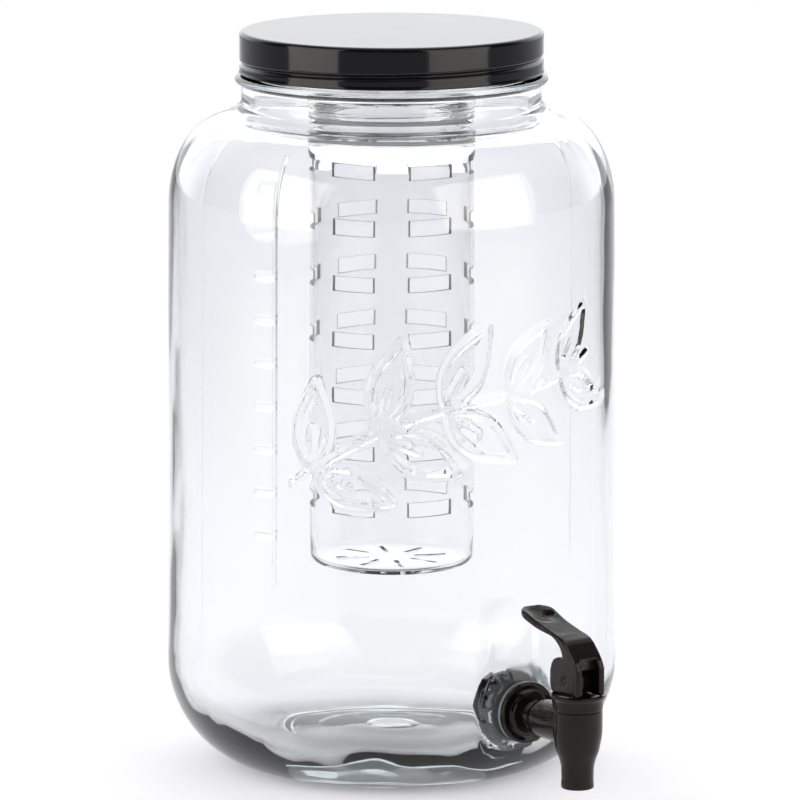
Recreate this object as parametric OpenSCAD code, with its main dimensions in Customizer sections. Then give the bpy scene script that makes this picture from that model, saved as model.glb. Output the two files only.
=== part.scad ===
// Glass jar beverage dispenser: screw lid, hanging infuser and self-closing lever tap.
// Millimetres. Z runs up the jar's axis, the table is z = 0 and the tap faces -Y.

/* [Jar] */
// Outside diameter of the jar's body above the heel
jar_d = 224.4; // [180:0.2:260]
// Height of the closed dispenser
overall_h = 366; // [300:1:440]
// How much slimmer the body is in radius at the shoulder
draft = 2; // [0:0.1:3]
// Glass thickness of the side wall
wall = 5; // [3.5:0.5:7]
// Height of the glass floor's upper side
floor_z = 11; // [8:0.5:16]
// Height of the heel curve
heel_h = 54; // [40:1:66]
// How far the heel curve runs in
heel_run = 48; // [30:0.5:56]
// Height of the shoulder curve
shoulder_h = 46; // [30:1:60]
// How far the shoulder curve runs in
shoulder_run = 34; // [24:0.5:42]
// Outside diameter of the neck below the bead
neck_d = 148.2; // [120:0.2:170]
// Diameter of the glass bead under the lid
bead_d = 154.6; // [126:0.5:178]
// Diameter of the mouth
mouth_d = 135; // [108:1:150]
// Diameter of the flat push-up step under the base
punt_d = 104; // [80:1:150]
// How far the raised scale stands out of the glass
relief = 0.5; // [0.3:0.1:1]

/* [Lid] */
// Outside diameter of the lid
lid_d = 150; // [122:0.2:172]
// Height of the lid
lid_h = 20.6; // [16:0.2:26]
// Sheet thickness of the lid
sheet = 0.8; // [0.5:0.1:1.2]
// Lead of the lid's thread
lid_pitch = 6.4; // [5:0.1:8]
// Depth of the rolled thread in the lid
roll_depth = 1.4; // [0.9:0.1:1.8]
// Radial gap between the lid's wall and the glass thread
lid_fit = 0.9; // [0.6:0.05:1.2]
// Height of the glass thread
jar_thread_h = 1.8; // [1.4:0.1:2.4]
// Turn of the rolled thread in degrees
roll_turn = 433; // [300:1:500]
// Liner thickness
liner_t = 1; // [0.6:0.1:2]
// Gasket thickness
gasket_t = 1.5; // [1:0.1:3]
// Plate thickness of the infuser holder
plate_t = 2; // [1.5:0.1:3]

/* [Infuser] */
// Outside diameter of the infuser's socket
socket_d = 82.2; // [66:0.2:96]
// Wall of the socket
socket_wall = 2.2; // [1.6:0.1:3]
// Height of the socket's lower edge
socket_z = 320.8; // [280:1:330]
// Height of the infuser's lower side
infuser_z = 100.3; // [60:0.5:160]
// Outside diameter of the infuser at its foot
infuser_d = 78.8; // [62:0.2:92]
// Wall of the infuser
infuser_wall = 2; // [1.4:0.1:3]
// Lead of the infuser's thread
screw_pitch = 5; // [4:0.5:7]
// Height of the infuser's thread
screw_h = 0.9; // [0.6:0.1:1.4]
// Radial gap over the infuser's thread
screw_fit = 0.4; // [0.3:0.05:0.6]
// Rows of slots
slot_rows = 7; // [3:1:8]
// Slots in one row
slot_cols = 6; // [4:1:8]
// Height from one row to the next
row_pitch = 27.9; // [20:0.5:34]
// Width of a slot
slot_w = 23; // [12:0.5:28]
// Height of a slot
slot_h = 7.4; // [4:0.2:12]

/* [Tap] */
// Height of the tap's inlet above the table
tap_z = 44.8; // [38:0.2:60]
// Distance from the wall to the barrel's axis
tap_reach = 49.6; // [36:0.2:60]
// Diameter of the flange
flange_d = 30.4; // [24:0.2:38]
// Diameter of the barrel
barrel_d = 24; // [20:0.2:30]
// Diameter of the bonnet's rim
rim_d = 27.2; // [22:0.2:32]
// Diameter of the outlet's end
outlet_d = 16; // [12:0.2:20]
// Diameter of the threaded shank
shank_d = 15.8; // [12:0.2:20]
// Gap round the shank in the glass
hole_fit = 0.8; // [0.4:0.1:1.5]
// Width across the nut's flats
nut_af = 24; // [20:0.5:30]
// Outer gasket thickness
outer_t = 2; // [1:0.1:3]
// Inner gasket thickness
inner_t = 2.4; // [1:0.1:4]
// Slip washer thickness
washer_t = 1.2; // [0.8:0.1:2]

/* [Lever and valve] */
// Width over the fork
fork_w = 16.5; // [13:0.1:20]
// Width of the slot in the fork
fork_slot = 9.7; // [7:0.1:12]
// Height of the pin above the bonnet
pin_h = 7; // [5.5:0.1:9]
// Radius of the pin
pin_r = 1.6; // [1.2:0.1:2.2]
// Running gap of the pin and the stem
run_gap = 0.06; // [0.02:0.01:0.1]
// Lift of the stem per radian of the lever
cam_arm = 8.9; // [6:0.1:9.5]
// Press of the lever in degrees
press = 15; // [8:1:16]
// Radius of the stem
stem_r = 2.2; // [1.6:0.1:3]
// Wire diameter of the spring
wire_d = 0.9; // [0.6:0.1:1.2]
// Turns of the spring
coils = 4.5; // [3:0.5:7]

/* [Hidden] */
$fn = 96;
eps = 0.01;
jar_r = jar_d / 2;
heel_r = jar_r - heel_run;
top_r = jar_r - draft;
top_z = overall_h;
lid_r = lid_d / 2;
lid_in_r = lid_r - sheet;
lid_z = top_z - lid_h;
liner_top = top_z - sheet;
plate_top = liner_top - liner_t;
gasket_top = plate_top - plate_t;
rim_z = gasket_top - gasket_t;
crest_r = lid_in_r - lid_fit;
finish_r = crest_r - jar_thread_h;
mouth_r = mouth_d / 2;
neck_r = neck_d / 2;
bead_r = bead_d / 2;
bead_z = lid_z - 3;
neck_z = bead_z - 15.1;
shoulder_z = neck_z - shoulder_h;
shoulder_r = top_r - shoulder_run;

// the rolled thread starts behind the jar and climbs to the right
roll_start = -293;
roll_z = lid_z + 3.3;
thread_rise = 2.1;
roll_half = 2.3;

socket_r = socket_d / 2;
socket_in = socket_r - socket_wall;
screw_crest = socket_in - screw_fit;
infuser_neck = screw_crest - screw_h;
inner_crest = infuser_neck + screw_fit - 0.05;
infuser_r = infuser_d / 2;
seal_r = 1.7;
seal_gap = 0.3;
shoulder_top = socket_z - 2 * seal_r - 2 * seal_gap;
screw_z = socket_z + 2.2;
screw_rise = 1.55;
row_z = infuser_z + 32.9;

boss_r = 19.5;
boss_q = jar_r + 3.3;
seat_q = jar_r - wall - 3.2;
flange_q = boss_q + outer_t;
barrel_q = jar_r + tap_reach;
hole_r = shank_d / 2 + hole_fit;
washer_q = seat_q - inner_t;
nut_q = washer_q - washer_t;
nut_t = 10;
shank_end = nut_q - nut_t - 3;
barrel_r = barrel_d / 2;
rim_r = rim_d / 2;
outlet_r = outlet_d / 2;
seam_z = tap_z + 9.5;
bonnet_z = seam_z + 7.8;
seat_z = tap_z - 5.6;
spout_z = tap_z - 28.9;
chamber_r = barrel_r - 3.1;
way_r = 5;
pin_z = bonnet_z + pin_h;
seal_h = 3.2;
seat_lip = 0.8;
seal_z = seat_z + seat_lip;
foot_z = seal_z + seal_h;
foot_h = 1.5;
cavity_z = bonnet_z - 3.5;
cavity_r = 5.4;
spring_r = 3.9;
leg_t = (fork_w - fork_slot) / 2;

// a curve of an ellipse as points, from one angle to another
function bow(cx, cy, rx, ry, a0, a1, n) =
  [for (i = [0 : n]) let (a = a0 + (a1 - a0) * i / n) [cx + rx * cos(a), cy + ry * sin(a)]];

// local +Z becomes the tap's outward direction
module outward(q) {
  translate([0, -q, tap_z]) rotate([90, 0, 0]) children();
}

// the barrel's own upright axis
module barrel_axis() {
  translate([0, -barrel_q, 0]) children();
}

// an interrupted helical ridge built of short tilted arcs
module ridge(r_root, r_crest, w_root, w_crest, lead, start, turn, z0, step, span) {
  tilt = atan(lead / (2 * PI * r_crest));
  for (a = [0 : step : turn - step + 1])
    rotate([0, 0, start + a + step / 2])
      translate([0, 0, z0 + lead * (a + step / 2) / 360])
        rotate([tilt, 0, 0])
          rotate([0, 0, -span / 2])
            rotate_extrude(angle = span)
              polygon([
                [r_root, -w_root], [r_crest, -w_crest],
                [r_crest, w_crest], [r_root, w_root]
              ]);
}

// ---- jar ----
module jar_outline() {
  polygon(concat(
    [[0, 5.5], [24, 5.2], [25.5, 4.2], [punt_d / 2 - 1.5, 3.4], [punt_d / 2 + 1, 2.2]],
    [[heel_r - 8.5, 0]],
    bow(heel_r, heel_h, heel_run, heel_h, -90, 0, 16),
    bow(shoulder_r, shoulder_z, shoulder_run, shoulder_h, 0, 84, 14),
    [[neck_r + 4.6, neck_z + 0.4], [neck_r + 1.9, neck_z + 1.4], [neck_r + 0.5, neck_z + 3]],
    [[neck_r, neck_z + 5.2], [neck_r, bead_z - 2.6]],
    bow(bead_r - 2, bead_z, 2, 2, -80, 80, 6),
    [[finish_r + 0.8, bead_z + 2.3], [finish_r, bead_z + 3.2]],
    [[finish_r, rim_z - 0.8], [finish_r - 0.8, rim_z], [mouth_r + 1, rim_z]],
    [[mouth_r, rim_z - 1], [mouth_r, neck_z + 4], [mouth_r + 1, neck_z - 1]],
    [[mouth_r + 4, neck_z - 3.6]],
    bow(shoulder_r, shoulder_z, shoulder_run - wall, shoulder_h - wall, 86, 0, 12),
    bow(heel_r, heel_h, heel_run - wall, heel_h - floor_z, 0, -90, 14),
    [[punt_d / 2, floor_z], [26, floor_z + 0.4], [24, floor_z + 1], [0, floor_z + 1.4]]
  ));
}

module jar_scale() {
  line_z = 106;
  line_top = shoulder_z - 3;
  first = 130.2;
  step = 21.1;
  ticks = floor((line_top - first) / step) + 1;
  lean = draft / (shoulder_z - heel_h);
  low_r = jar_r + lean * heel_h;
  high_r = top_r - lean * 4;
  intersection() {
    difference() {
      cylinder(r1 = low_r + relief, r2 = high_r + relief, h = shoulder_z + 4);
      translate([0, 0, -1]) cylinder(r = top_r - 1, h = shoulder_z + 7);
    }
    rotate([0, 0, -154]) union() {
      translate([jar_r - 6, -0.7, line_z]) cube([12, 1.4, line_top - line_z]);
      for (i = [0 : ticks - 1])
        translate([jar_r - 8, -11, first + i * step]) cube([14, 10.6, 1.4]);
    }
  }
}

module jar() {
  color([0.86, 0.92, 0.92, 0.35])
    difference() {
      union() {
        rotate_extrude() jar_outline();
        ridge(finish_r - 1, crest_r, 1.4, 0.6, lid_pitch, roll_start, 420,
          roll_z + thread_rise, 60, 56);
        outward(seat_q - 6) cylinder(r = boss_r, h = boss_q - seat_q + 6);
        jar_scale();
      }
      outward(seat_q - 40) cylinder(r = boss_r - 2.4, h = 40);
      outward(seat_q - 20) cylinder(r = hole_r, h = 60);
    }
}

// ---- lid ----
function fade(t) = t <= 0 || t >= roll_turn ? 0 : min(1, t / 25, (roll_turn - t) / 25);
function roll_at(z, t) =
  let (dz = z - roll_z - lid_pitch * t / 360)
  abs(dz) >= roll_half ? 0 : fade(t) * pow(cos(90 * dz / roll_half), 2);
function roll(z, a) = roll_depth * max([for (k = [-1 : 2]) roll_at(z, a - roll_start + 360 * k)]);

module lid_shell() {
  n = 96;
  m = 17;
  z_hi = top_z - 3.2;
  z_lo = lid_z + 1;
  top = [
    [lid_r - 18, top_z], [lid_r - 4, top_z], [lid_r - 1.9, top_z - 0.3], [lid_r - 0.6, top_z - 1.2]
  ];
  low = [
    [lid_r + 0.25, lid_z + 0.7], [lid_r + 0.25, lid_z + 0.3], [lid_r - 0.1, lid_z],
    [lid_in_r + 0.1, lid_z]
  ];
  back = [[lid_in_r - 0.4, top_z - 1.9], [lid_in_r - 1.6, top_z - sheet], [lid_r - 18, top_z - sheet]];
  rows = len(top) + m + len(low) + m + len(back);
  function ring(a) = concat(
    top,
    [for (i = [0 : m - 1]) let (z = z_hi + (z_lo - z_hi) * i / (m - 1)) [lid_r - roll(z, a), z]],
    low,
    [for (i = [0 : m - 1]) let (z = z_lo + (z_hi - z_lo) * i / (m - 1)) [lid_in_r - roll(z, a), z]],
    back
  );
  pts = concat(
    [[0, 0, top_z], [0, 0, top_z - sheet]],
    [for (i = [0 : n - 1]) let (a = 360 * i / n) for (p = ring(a)) [p[0] * cos(a), p[0] * sin(a), p[1]]]
  );
  function at(i, k) = 2 + (i % n) * rows + k;
  faces = [for (i = [0 : n - 1]) each concat(
    [[0, at(i + 1, 0), at(i, 0)], [1, at(i, rows - 1), at(i + 1, rows - 1)]],
    [for (k = [0 : rows - 2]) each [
      [at(i, k), at(i + 1, k), at(i + 1, k + 1)],
      [at(i, k), at(i + 1, k + 1), at(i, k + 1)]
    ]]
  )];
  color([0.03, 0.03, 0.035]) polyhedron(pts, faces, convexity = 6);
}

module lid_liner() {
  color([0.85, 0.85, 0.83])
    translate([0, 0, plate_top]) cylinder(r = lid_in_r - 2, h = liner_t);
}

module lid_insert() {
  color([0.92, 0.94, 0.95, 0.6])
    union() {
      translate([0, 0, gasket_top]) cylinder(r = lid_in_r - 1.3, h = plate_t);
      rotate_extrude() polygon([
        [socket_in, gasket_top + 1], [socket_in, socket_z + 0.6], [socket_in + 0.5, socket_z],
        [socket_r - 0.5, socket_z], [socket_r, socket_z + 0.6], [socket_r, gasket_top - 1.6],
        [socket_r + 1.6, gasket_top + 1]
      ]);
      ridge(socket_in + 1, inner_crest, 1, 0.45, screw_pitch, 0, 360, screw_z, 60, 56);
    }
}

module lid_gasket() {
  color([0.9, 0.9, 0.88])
    rotate_extrude()
      translate([mouth_r + 0.5, rim_z]) square([finish_r - mouth_r - 0.8, gasket_t]);
}

// ---- infuser ----
module infuser_seal() {
  color([0.85, 0.85, 0.85])
    rotate_extrude()
      translate([infuser_neck + 0.35 + seal_r, socket_z - seal_gap - seal_r]) circle(r = seal_r);
}

module infuser_outline() {
  hi = shoulder_top;
  polygon(concat(
    [[0, infuser_z]],
    bow(infuser_r - 3, infuser_z + 3, 3, 3, -90, 0, 6),
    [[infuser_r + 1, hi - 20], [socket_r - 0.8, hi - 12], [socket_r - 0.3, hi - 9]],
    [[socket_r - 0.3, hi - 1], [socket_r - 1, hi], [infuser_neck, hi]],
    [[infuser_neck, hi + 17.4], [infuser_neck - 0.6, hi + 18]],
    [[infuser_neck - 2, hi + 18], [infuser_neck - 2, hi - 5]],
    [[infuser_r + 1 - infuser_wall, hi - 16], [infuser_r - infuser_wall, infuser_z + 4.4]],
    [[infuser_r - infuser_wall - 0.7, infuser_z + 3], [infuser_r - infuser_wall - 2, infuser_z + 2.4]],
    [[0, infuser_z + 2.4]]
  ));
}

module infuser() {
  color([0.9, 0.93, 0.95, 0.5])
    difference() {
      union() {
        rotate_extrude() infuser_outline();
        ridge(infuser_neck - 0.8, screw_crest, 1, 0.45, screw_pitch, 0, 540,
          screw_z + screw_rise, 60, 56);
      }
      for (r = [0 : slot_rows - 1])
        for (c = [0 : slot_cols / 2 - 1])
          rotate([0, 0, 26.5 + 360 / slot_cols * c])
            translate([-60, -slot_w / 2, row_z + row_pitch * r - slot_h / 2])
              cube([120, slot_w, slot_h]);
      for (c = [0 : 7])
        rotate([0, 0, 22.5 + 45 * c])
          translate([12, -1.1, infuser_z - 1]) cube([16, 2.2, 6]);
    }
}

// ---- tap ----
module barrel_outline() {
  polygon([
    [0, spout_z], [outlet_r - 0.7, spout_z], [outlet_r, spout_z + 0.7],
    [outlet_r - 0.2, spout_z + 5], [outlet_r, spout_z + 10.4], [outlet_r + 0.8, spout_z + 14],
    [outlet_r + 2.3, spout_z + 18.2], [barrel_r - 0.9, spout_z + 22], [barrel_r - 0.2, spout_z + 26],
    [barrel_r, spout_z + 29], [barrel_r, seam_z], [0, seam_z]
  ]);
}

module tap_body() {
  color([0.05, 0.045, 0.045])
    difference() {
      union() {
        outward(0) rotate_extrude() polygon([
          [0, shank_end], [shank_d / 2 - 1.4, shank_end], [shank_d / 2 - 0.7, shank_end + 0.7],
          [shank_d / 2 - 0.7, flange_q - 0.5], [shank_d / 2 - 0.7, flange_q],
          [flange_d / 2, flange_q], [flange_d / 2, flange_q + 2.6], [flange_d / 2 - 0.8, flange_q + 3.3],
          [flange_d / 2 - 1.8, flange_q + 2.8], [flange_d / 2 - 4.2, flange_q + 2.2],
          [9.8, flange_q + 2.6], [8.9, flange_q + 4.2], [8.5, flange_q + 14],
          [9.1, flange_q + 14.6], [9.3, flange_q + 22], [9.3, barrel_q], [0, barrel_q]
        ]);
        outward(0)
          ridge(shank_d / 2 - 1.2, shank_d / 2, 0.9, 0.3, 2.6, 0, 2040, shank_end + 1.6, 120, 114);
        barrel_axis() rotate_extrude() barrel_outline();
      }
      outward(shank_end - 2) cylinder(r = way_r, h = barrel_q - shank_end + 2);
      barrel_axis() translate([0, 0, spout_z - 1]) cylinder(r = way_r, h = seam_z);
      barrel_axis() difference() {
        translate([0, 0, seat_z]) cylinder(r = chamber_r, h = seam_z);
        translate([0, 0, seat_z - 1]) cylinder(r = way_r + 1, h = seat_lip + 1);
      }
    }
}

module tap_bonnet() {
  color([0.055, 0.05, 0.05])
    barrel_axis() difference() {
      rotate_extrude() polygon([
        [0, seam_z - 3], [chamber_r - 0.05, seam_z - 3], [chamber_r - 0.05, seam_z],
        [barrel_r, seam_z], [barrel_r + 0.1, seam_z + 0.5], [barrel_r + 0.2, seam_z + 2.5],
        [barrel_r + 0.8, seam_z + 5.4], [rim_r, seam_z + 6.5], [rim_r, bonnet_z - 0.4],
        [rim_r - 0.5, bonnet_z], [0, bonnet_z]
      ]);
      translate([0, 0, seam_z - 10]) cylinder(r = cavity_r, h = cavity_z - seam_z + 10);
      cylinder(r = stem_r + run_gap, h = bonnet_z + 1);
    }
}

// a cam whose lift grows evenly with the lever's angle
function cam(a) = let (h = pin_h + cam_arm * a * PI / 180)
  [h * sin(a) + cam_arm * cos(a), -h * cos(a) + cam_arm * sin(a)];

module leg_outline() {
  polygon(concat(
    [[-10.9, -pin_h + 1], [-9.9, -pin_h]],
    [for (i = [0 : 10]) cam((press + 1) * i / 10)],
    [[12, -4.5], [12.4, -1], [12.3, 3], [11.4, 6.6], [9.6, 9.2], [6.6, 10.6], [4, 10.4]],
    [[1.9, 10.6], [3, 13.6], [-2, 17.4], [-6.6, 13.2], [-9, 10.2], [-10.8, 6.6]]
  ));
}

// the fork's back and the paddle, seen from the side
module arm_outline() {
  polygon([
    [-10.8, 6.6], [1.6, 6.6], [1.4, 9.6], [2, 12], [3.4, 14.4], [5.6, 16.8], [8.6, 18.8], [12.2, 20],
    [18, 20.7], [24, 21.4], [31, 22.7], [39.6, 25.2], [40.8, 26.4], [40, 27.9], [32, 26.6], [23, 24.8],
    [15, 22.9], [9.2, 21.6], [4.6, 20.8], [1, 19.7], [-2, 17.8], [-6.6, 13.2], [-9, 10.2]
  ]);
}

module tap_lever() {
  color([0.06, 0.055, 0.055])
    translate([0, -barrel_q, pin_z])
      difference() {
        union() {
          for (s = [-1, 1])
            translate([s * (fork_w / 2 - leg_t / 2) - leg_t / 2, 0, 0])
              rotate([90, 0, 90]) linear_extrude(height = leg_t) leg_outline();
          intersection() {
            translate([-fork_w / 2, 0, 0])
              rotate([90, 0, 90]) linear_extrude(height = fork_w) arm_outline();
            union() {
              translate([-fork_w, -20, -1]) cube([2 * fork_w, 52.6, 40]);
              translate([0, 32.6, -1]) cylinder(r = fork_w / 2, h = 40);
            }
          }
        }
        translate([-fork_w, 0, 0]) rotate([0, 90, 0]) cylinder(r = pin_r + run_gap, h = 2 * fork_w);
        translate([-fork_slot / 2, -20, -12]) cube([fork_slot, 23.5, 23]);
        translate([0, 20.4, 60.6]) sphere(r = 36.4);
      }
}

module lever_pin() {
  color([0.25, 0.25, 0.26])
    translate([-fork_w / 2 + 0.3, -barrel_q, pin_z])
      rotate([0, 90, 0]) cylinder(r = pin_r, h = fork_w - 0.6);
}

module valve_stem() {
  color([0.07, 0.07, 0.07])
    barrel_axis() difference() {
      union() {
        rotate_extrude() polygon([
          [0, foot_z - 1.6], [1.8, foot_z - 1.6], [1.8, foot_z], [5, foot_z], [5, foot_z + foot_h],
          [stem_r, foot_z + foot_h], [stem_r, bonnet_z + 2.4], [0, bonnet_z + 2.4]
        ]);
        translate([-4.6, -4, bonnet_z + 1.2]) cube([9.2, 8, pin_h - 1.2]);
        translate([-4.6, 0, pin_z]) rotate([0, 90, 0]) cylinder(r = 4, h = 9.2);
      }
      translate([-10, 0, pin_z]) rotate([0, 90, 0]) cylinder(r = pin_r, h = 20);
    }
}

module valve_seal() {
  color([0.8, 0.78, 0.75])
    barrel_axis() rotate_extrude() polygon([
      [0, seal_z], [way_r + 1.4, seal_z], [way_r + 1.8, seal_z + 0.5], [way_r + 1.4, seal_z + 2],
      [way_r - 0.4, foot_z], [1.8, foot_z], [1.8, foot_z - 1.6], [0, foot_z - 1.6]
    ]);
}

module return_spring() {
  n = 20;
  sides = 8;
  lo = foot_z + foot_h + wire_d / 2 + 0.02;
  hi = cavity_z - wire_d / 2 - 0.02;
  steps = round(n * coils);
  pts = concat(
    [for (i = [0 : steps]) let (a = 360 * i / n, z = lo + (hi - lo) * i / steps)
      for (k = [0 : sides - 1]) let (b = 360 * k / sides, r = spring_r + wire_d / 2 * cos(b))
        [r * cos(a), r * sin(a), z + wire_d / 2 * sin(b)]]
  );
  function at(i, k) = i * sides + k % sides;
  faces = concat(
    [[for (k = [0 : sides - 1]) at(0, k)]],
    [[for (k = [sides - 1 : -1 : 0]) at(steps, k)]],
    [for (i = [0 : steps - 1]) for (k = [0 : sides - 1]) each [
      [at(i, k), at(i + 1, k + 1), at(i, k + 1)],
      [at(i, k), at(i + 1, k), at(i + 1, k + 1)]
    ]]
  );
  color([0.7, 0.7, 0.72]) barrel_axis() polyhedron(pts, faces, convexity = 10);
}

module outer_gasket() {
  color([0.75, 0.78, 0.8])
    outward(boss_q) difference() {
      cylinder(r = flange_d / 2 - 0.2, h = outer_t);
      translate([0, 0, -1]) cylinder(r = hole_r, h = outer_t + 2);
    }
}

module inner_gasket() {
  color([0.75, 0.78, 0.8])
    outward(washer_q) difference() {
      cylinder(r = 16.4, h = inner_t);
      translate([0, 0, -1]) cylinder(r = hole_r, h = inner_t + 2);
    }
}

module slip_washer() {
  color([0.1, 0.1, 0.1])
    outward(nut_q) difference() {
      cylinder(r = 15.6, h = washer_t);
      translate([0, 0, -1]) cylinder(r = hole_r, h = washer_t + 2);
    }
}

module shank_nut() {
  color([0.07, 0.07, 0.07])
    outward(nut_q - nut_t) difference() {
      intersection() {
        cylinder(r = nut_af / sqrt(3), h = nut_t, $fn = 6);
        union() {
          cylinder(r1 = nut_af / 2, r2 = nut_af / 2 + 1.9, h = 1.1);
          translate([0, 0, 1.1]) cylinder(r = nut_af / 2 + 1.9, h = nut_t);
        }
      }
      translate([0, 0, -1]) cylinder(r = shank_d / 2 + 0.1, h = nut_t + 2);
    }
}

jar();
lid_shell();
lid_liner();
lid_insert();
lid_gasket();
infuser_seal();
infuser();
tap_body();
tap_bonnet();
tap_lever();
lever_pin();
valve_stem();
valve_seal();
return_spring();
outer_gasket();
inner_gasket();
slip_washer();
shank_nut();
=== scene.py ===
# Glass jar beverage dispenser: screw lid, hanging infuser and self-closing lever tap.
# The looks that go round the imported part. Z runs up the jar's axis and the tap faces -Y.
import math

import bmesh
import bpy
import numpy as np
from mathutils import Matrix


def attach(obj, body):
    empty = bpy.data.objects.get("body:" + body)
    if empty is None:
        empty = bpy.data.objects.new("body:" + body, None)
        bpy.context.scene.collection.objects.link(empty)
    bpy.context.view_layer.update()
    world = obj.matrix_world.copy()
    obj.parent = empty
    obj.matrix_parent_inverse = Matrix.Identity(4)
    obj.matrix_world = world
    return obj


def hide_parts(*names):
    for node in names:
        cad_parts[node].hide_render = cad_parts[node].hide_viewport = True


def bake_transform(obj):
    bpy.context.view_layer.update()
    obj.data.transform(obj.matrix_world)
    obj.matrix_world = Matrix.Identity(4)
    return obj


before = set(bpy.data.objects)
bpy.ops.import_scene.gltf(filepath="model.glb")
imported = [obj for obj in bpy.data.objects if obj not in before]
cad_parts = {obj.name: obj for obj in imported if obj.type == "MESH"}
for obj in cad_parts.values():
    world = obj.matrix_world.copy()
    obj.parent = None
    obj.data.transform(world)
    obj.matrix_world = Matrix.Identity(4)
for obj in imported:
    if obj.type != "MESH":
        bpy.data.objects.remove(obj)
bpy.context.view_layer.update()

# ---- view and daylight table ----
# The dispenser stands on a white sweep that is lit from behind, with two upright
# soft boxes beside the camera, so that clear glass shows by its darker edges. The
# sweep also glows with painted light, brighter towards the back, and is dimmed
# under the jar as a painted shadow.
camera = bpy.data.objects.new("camera", bpy.data.cameras.new("camera"))
bpy.context.scene.collection.objects.link(camera)
turn, aside, pitch = math.radians(-33.5), math.radians(0.0745), 0.176
distance, eye_height = 3.2, 0.7502
camera.location = (math.sin(turn) * distance, -math.cos(turn) * distance, eye_height)
camera.rotation_euler = (math.pi / 2 - pitch, 0, turn - aside)
camera.data.sensor_width = 36
camera.data.lens = 294.5
camera.data.clip_start = 0.1
camera.data.clip_end = 60
bpy.context.scene.camera = camera
bpy.context.scene.view_settings.view_transform = "Standard"


class Socket:
    """A shader value that Python's own operators work on."""

    tree = None

    def __init__(self, link):
        self.link = link

    @classmethod
    def node(cls, kind, settings=(), **values):
        made = cls.tree.nodes.new(kind)
        for key, value in dict(settings).items():
            setattr(made, key, value)
        for key, value in values.items():
            numbered = key[0] == "i" and key[1:].isdigit()
            target = made.inputs[int(key[1:]) if numbered else key.replace("_", " ")]
            if isinstance(value, cls):
                cls.tree.links.new(value.link, target)
            else:
                target.default_value = value
        return made

    @classmethod
    def maths(cls, what, *values):
        made = cls.node("ShaderNodeMath", {"operation": what}, **{f"i{n}": v for n, v in enumerate(values)})
        return cls(made.outputs[0])

    def __add__(self, other):
        return Socket.maths("ADD", self, other)

    def __rsub__(self, other):
        return Socket.maths("SUBTRACT", other, self)

    def __mul__(self, other):
        return Socket.maths("MULTIPLY", self, other)

    def __pow__(self, other):
        return Socket.maths("POWER", self, other)

    __radd__ = __add__
    __rmul__ = __mul__

    def step(self, low, high):
        """Goes smoothly from 0 at low to 1 at high."""
        smooth = {"interpolation_type": "SMOOTHSTEP"}
        made = Socket.node("ShaderNodeMapRange", smooth, i0=self, i1=low, i2=high)
        return Socket(made.outputs[0])

    def blend(self, low, high):
        """Goes from the colour low to the colour high."""
        made = Socket.node("ShaderNodeMix", {"data_type": "RGBA"}, i0=self, i6=low, i7=high)
        return Socket(made.outputs[2])


def place():
    """Where a point is on the piece, in metres."""
    return Socket(Socket.node("ShaderNodeTexCoord").outputs["Object"])


def noise(scale, detail=2.0, stretch=(1, 1, 1)):
    spot = Socket(Socket.node("ShaderNodeMapping", i0=place(), Scale=stretch).outputs[0])
    made = Socket.node("ShaderNodeTexNoise", Vector=spot, Scale=scale, Detail=detail)
    return Socket(made.outputs["Fac"])


def bump(height, strength, depth):
    made = Socket.node("ShaderNodeBump", Height=height, Strength=strength, Distance=depth)
    return Socket(made.outputs[0])


def new_material(name):
    made = bpy.data.materials.new(name)
    made.use_nodes = True
    made.node_tree.nodes.clear()
    Socket.tree = made.node_tree
    return made


def surface(**values):
    """The finished surface of the material that was begun last."""
    shader = Socket.node("ShaderNodeBsdfPrincipled", **values)
    end = Socket.node("ShaderNodeOutputMaterial")
    Socket.tree.links.new(shader.outputs[0], end.inputs["Surface"])
    return end


def separate(vector):
    made = Socket.node("ShaderNodeSeparateXYZ", i0=vector)
    return [Socket(out) for out in made.outputs]


sweep_size, sweep_drop = 9.0, 0.0004
corners = ((-1, -1), (1, -1), (1, 1), (-1, 1))
sweep = bpy.data.meshes.new("sweep")
sweep.from_pydata(
    [(x * sweep_size, y * sweep_size, -sweep_drop) for x, y in corners], [], [(0, 1, 2, 3)]
)
floor = bpy.data.objects.new("sweep", sweep)
bpy.context.scene.collection.objects.link(floor)
floor_white = new_material("sweep_white")
east, north, _ = separate(place())
behind = east * -math.sin(turn) + north * math.cos(turn)
beside = east * math.cos(turn) + north * math.sin(turn)
reach = (east * east + north * north) ** 0.5
spread = 1 - Socket.maths("ABSOLUTE", beside).step(0.5, 1.4)
# Painted light: the sweep glows more towards the back and less to the sides, and its glow drops near the
# jar's foot as a painted contact shadow.
painted_floor_light = (0.10 + 0.40 * behind.step(-0.7, -0.1) * spread) * (0.2 + 0.8 * reach.step(0.055, 0.1))
painted_floor_light = painted_floor_light + 0.13 * behind.step(0.5, 2.8)
surface(
    Base_Color=(0.66, 0.66, 0.68, 1), Roughness=0.9, Specular_IOR_Level=0.1,
    Emission_Color=painted_floor_light.blend((0, 0, 0, 1), (1.0, 1.0, 1.05, 1)), Emission_Strength=1.0,
)
sweep.materials.append(floor_white)

world = bpy.data.worlds.new("studio")
bpy.context.scene.world = world
world.use_nodes = True
Socket.tree = world.node_tree
world.node_tree.nodes.clear()
x, y, z = separate(Socket(Socket.node("ShaderNodeTexCoord").outputs["Generated"]))
away = x * -math.sin(turn) + y * math.cos(turn)
sky = 0.07 + 1.5 * away.step(0.25, 0.8) * z.step(-0.4, 0.02) + 0.3 * z.step(0.45, 0.95)
back = Socket.node("ShaderNodeBackground", Color=(0.97, 0.98, 1.0, 1), Strength=sky)
out = Socket.node("ShaderNodeOutputWorld")
world.node_tree.links.new(back.outputs[0], out.inputs[0])


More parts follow.
